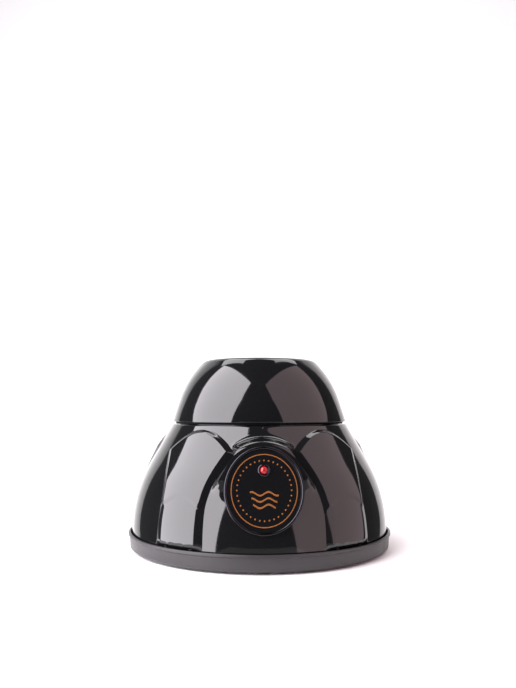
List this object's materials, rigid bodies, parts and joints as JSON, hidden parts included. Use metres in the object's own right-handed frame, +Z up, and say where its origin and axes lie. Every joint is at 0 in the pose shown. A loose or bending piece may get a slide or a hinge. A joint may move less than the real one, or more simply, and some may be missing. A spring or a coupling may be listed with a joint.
{
  "type": "bottle shaker machine",
  "caption": "Domed desk shaker for small polish or ink bottles: pressing the cup in its top swirls the bottle on a motor-driven crank.",
  "frame": {"origin": "middle of the circle through the rubber feet, on the table", "axes": "+Z up along the dome's axis, -Y towards the badge, +X to the right as seen from the badge's side"},
  "size_m": [0.1306, 0.1306, 0.0929],
  "materials": {
    "gloss_black": "glossy moulded ABS",
    "tray_plastic": "satin moulded ABS, fine texture",
    "satin_black": "satin moulded plastic",
    "inner_plastic": "plain moulded plastic",
    "pale_plastic": "plain moulded plastic",
    "badge_metal": "bright plated ring",
    "badge_face": "glossy black disc with a plain copper ring and dots",
    "lamp_red": "clear red lens",
    "rubber": "moulded rubber",
    "steel": "bright steel",
    "screw_steel": "zinc plated screws",
    "brass": "machined brass",
    "board_green": "green circuit board",
    "plunger_red": "moulded plastic",
    "wire_skin": "insulated wire"
  },
  "bodies": {
    "housing": {"base_tray": "tray_plastic", "ballast_plate": "steel", "ballast_screws": "screw_steel", "rubber_feet": "rubber", "base_screws": "screw_steel", "lower_dome": "gloss_black", "upper_dome": "gloss_black", "dome_screws": "screw_steel", "badge_ring": "badge_metal", "badge_disc": "badge_face", "lamp_bezel": "badge_metal", "lamp_lens": "lamp_red", "lamp_board": "board_green", "guide_posts": "steel", "post_washers": "steel", "post_screws": "screw_steel", "return_springs": "steel", "switch_bracket": "steel", "microswitch_body": "inner_plastic", "microswitch_screws": "screw_steel", "inlet_body": "inner_plastic", "inlet_pin": "brass", "inlet_nut": "steel", "rocker_frame": "satin_black", "control_board": "board_green", "board_parts": "inner_plastic", "board_screws": "screw_steel", "wires": "wire_skin"},
    "carriage": {"motor_cradle": "inner_plastic", "guide_bushes": "brass", "motor_can": "steel", "motor_end_cap": "pale_plastic", "motor_terminals": "brass", "motor_screws": "screw_steel"},
    "rotor": {"motor_shaft": "steel", "eccentric_hub": "brass", "grub_screw": "screw_steel", "bearing_inner_ring": "steel", "bearing_clip": "screw_steel"},
    "ball_cage": {"bearing_balls": "steel", "bearing_cage": "brass"},
    "cup": {"bearing_outer_ring": "steel", "cup_carrier": "inner_plastic", "rubber_cup": "rubber"},
    "lever": {"microswitch_lever": "steel"},
    "plunger": {"microswitch_plunger": "plunger_red"},
    "rocker": {"rocker_key": "satin_black"}
  },
  "joints": [
    {"name": "cup_press", "type": "slide", "parent": "housing", "child": "carriage", "axis": [0, 0, 1], "range_m": [-0.0025, 0], "stiffness_N_per_m": 2400, "springref_m": 0.0015, "deforming": ["return_springs"]},
    {"name": "motor_spin", "type": "hinge", "parent": "carriage", "child": "rotor", "pos_m": [0, 0, 0.06], "axis": [0, 0, 1], "continuous": true},
    {"name": "cup_swirl", "type": "hinge", "parent": "rotor", "child": "cup", "pos_m": [0.002, 0, 0.07], "axis": [0, 0, 1], "continuous": true},
    {"name": "cage_spin", "type": "hinge", "parent": "rotor", "child": "ball_cage", "pos_m": [0.002, 0, 0.07], "axis": [0, 0, 1], "continuous": true},
    {"name": "switch_lever_tilt", "type": "hinge", "parent": "housing", "child": "lever", "pos_m": [-0.0054, 0.027, 0.0282], "axis": [0, -1, 0], "range_deg": [-14.4, 0]},
    {"name": "switch_plunger_press", "type": "slide", "parent": "housing", "child": "plunger", "axis": [0, 0, 1], "range_m": [-0.00065, 0]},
    {"name": "power_rocker", "type": "hinge", "parent": "housing", "child": "rocker", "pos_m": [0, 0.05276, 0.03945], "axis": [-1, 0, 0], "range_deg": [0, 14]}
  ],
  "couplings": [
    {"joint": "cup_swirl", "follows": "motor_spin", "ratio": -1},
    {"joint": "cage_spin", "follows": "motor_spin", "ratio": -0.628},
    {"joint": "switch_lever_tilt", "follows": "cup_press", "rad_per_m": 100},
    {"joint": "switch_plunger_press", "follows": "cup_press", "ratio": 0.24}
  ]
}
